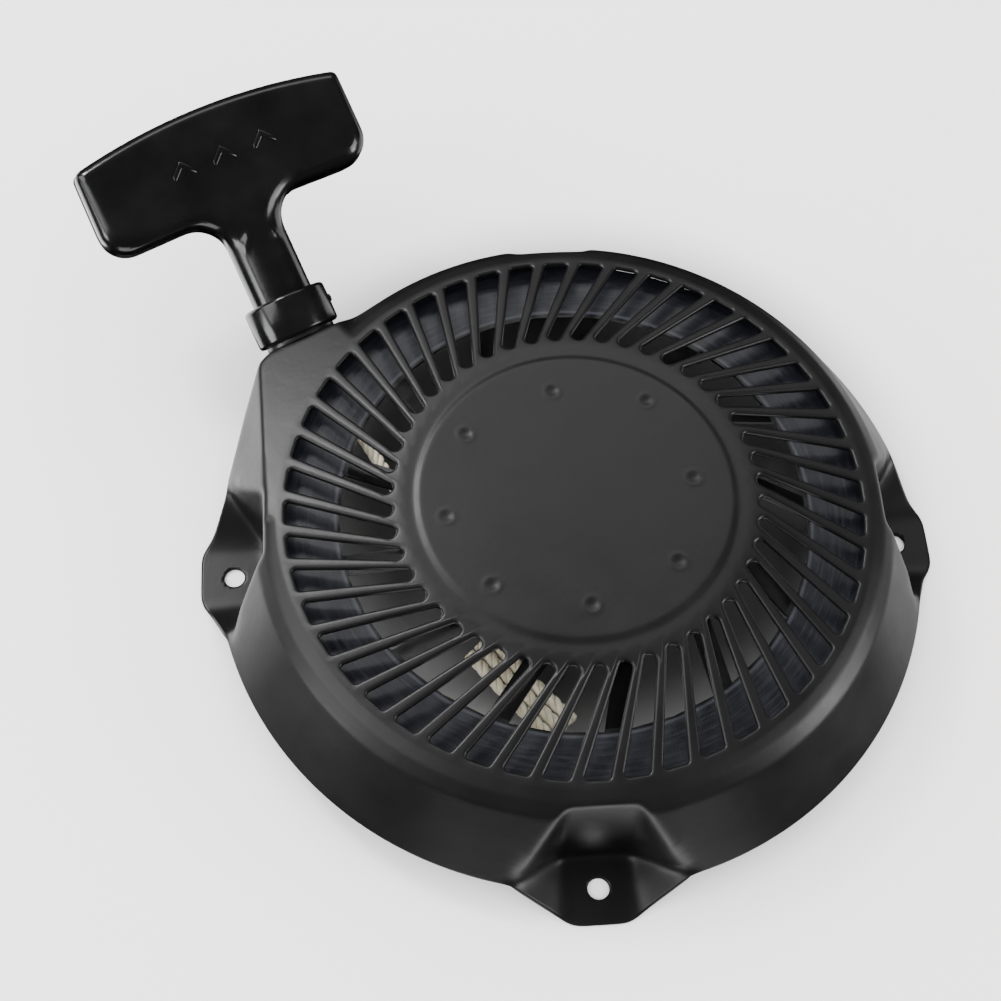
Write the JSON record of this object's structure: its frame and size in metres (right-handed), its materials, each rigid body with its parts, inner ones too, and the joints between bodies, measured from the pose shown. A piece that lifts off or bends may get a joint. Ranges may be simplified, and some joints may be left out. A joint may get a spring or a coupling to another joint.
{
  "type": "recoil starter",
  "caption": "Pressed-steel recoil starter for a small engine: slotted round cover, corner ears, rope pulley with pawls, and a T-shaped pull handle on a rope.",
  "frame": {"origin": "centre of the circle of the four ear holes, on the plane where the ears rest on the engine", "axes": "+Z along the pulley axis, away from the engine and out through the grille; the ears lie on +X, -X, +Y and -Y, and the rope leaves towards -X +Y, tilted up"},
  "size_m": [0.294, 0.2945, 0.0843],
  "materials": {
    "shell_paint": "satin",
    "guard_paint": "satin",
    "zinc_steel": "satin",
    "spring_steel": "satin",
    "sintered_steel": "matte",
    "black_nylon": "satin",
    "grip_plastic": "gloss",
    "eyelet_nylon": "gloss",
    "rope": "matte"
  },
  "bodies": {
    "housing": {"shell": "shell_paint", "guard_spider": "guard_paint", "hub_post": "zinc_steel", "centre_screw": "zinc_steel", "screw_washer": "zinc_steel", "rope_run": "rope", "rope_eyelet": "eyelet_nylon", "handle_seat": "grip_plastic"},
    "pulley_body": {"pulley": "black_nylon", "spring_cover": "zinc_steel", "cover_screws": "zinc_steel", "rope_winding": "rope", "rope_tail": "rope", "recoil_spring": "spring_steel", "pawl_pins": "zinc_steel", "pawl_springs": "spring_steel"},
    "plate_body": {"friction_plate": "zinc_steel", "brake_spring": "spring_steel"},
    "pawl_a_body": {"pawl_a": "sintered_steel"},
    "pawl_b_body": {"pawl_b": "sintered_steel"},
    "rope_end": {"rope_lead": "rope", "rope_stop": "zinc_steel", "handle_knot": "rope"},
    "handle": {"grip": "grip_plastic"}
  },
  "joints": [
    {"name": "handle_pull", "type": "slide", "parent": "housing", "child": "rope_end", "axis": [-0.366, 0.7849, 0.5], "range_m": [0, 1.3], "stiffness_N_per_m": 15, "springref_m": -1, "deforming": ["rope_lead"]},
    {"name": "pulley_spin", "type": "hinge", "parent": "housing", "child": "pulley_body", "pos_m": [0, 0, 0.03], "axis": [0, 0, -1], "range_deg": [0, 2010], "deforming": ["rope_winding", "recoil_spring"]},
    {"name": "plate_turn", "type": "hinge", "parent": "pulley_body", "child": "plate_body", "pos_m": [0, 0, 0.0158], "axis": [0, 0, 1], "range_deg": [0, 40], "stiffness_Nm_per_rad": 0.01, "springref_deg": -17.19},
    {"name": "pawl_a_swing", "type": "hinge", "parent": "pulley_body", "child": "pawl_a_body", "pos_m": [0.02, 0, 0.021], "axis": [0, 0, 1], "range_deg": [0, 30]},
    {"name": "pawl_b_swing", "type": "hinge", "parent": "pulley_body", "child": "pawl_b_body", "pos_m": [-0.02, 0, 0.021], "axis": [0, 0, 1], "range_deg": [0, 30]},
    {"name": "grip_swivel", "type": "hinge", "parent": "rope_end", "child": "handle", "pos_m": [-0.0905, 0.0792, 0.033], "axis": [-0.366, 0.7849, 0.5], "range_deg": [-90, 90]}
  ],
  "couplings": [
    {"joint": "pulley_spin", "follows": "handle_pull", "rad_per_m": 26.9},
    {"joint": "pawl_a_swing", "follows": "plate_turn", "ratio": 0.75},
    {"joint": "pawl_b_swing", "follows": "plate_turn", "ratio": 0.75}
  ]
}
